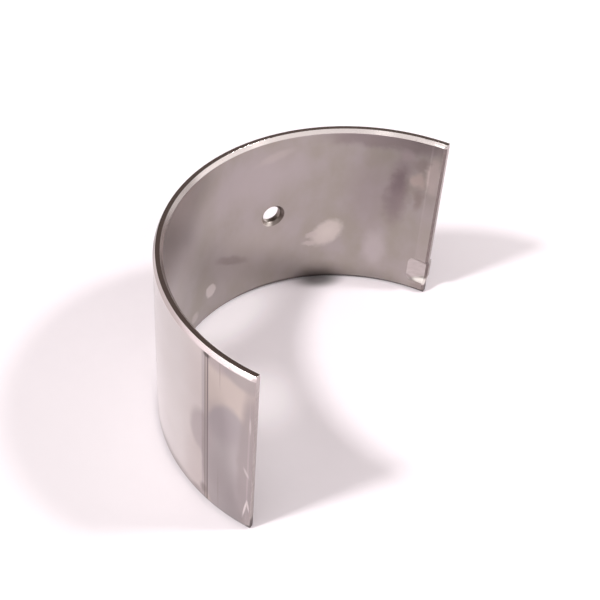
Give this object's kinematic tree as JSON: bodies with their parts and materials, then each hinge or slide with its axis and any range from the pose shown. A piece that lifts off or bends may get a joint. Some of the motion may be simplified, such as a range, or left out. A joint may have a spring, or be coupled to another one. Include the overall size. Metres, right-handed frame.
{
  "type": "engine bearing shell",
  "caption": "Half-round plain bearing shell for a diesel connecting rod: chamfered thin wall, radial oil hole and a pressed locating lug at one joint face.",
  "frame": {"origin": "on the bore axis, at mid-width", "axes": "+X to the joint face with the locating lug, +Y to the crown, +Z along the crankpin, away from the lug"},
  "size_m": [0.1042, 0.0507, 0.0536],
  "materials": {
    "bearing_steel": "satin, with a bright plated back and a grey bearing lining"
  },
  "bodies": {
    "root": {"bearing_shell": "bearing_steel"}
  },
  "joints": []
}
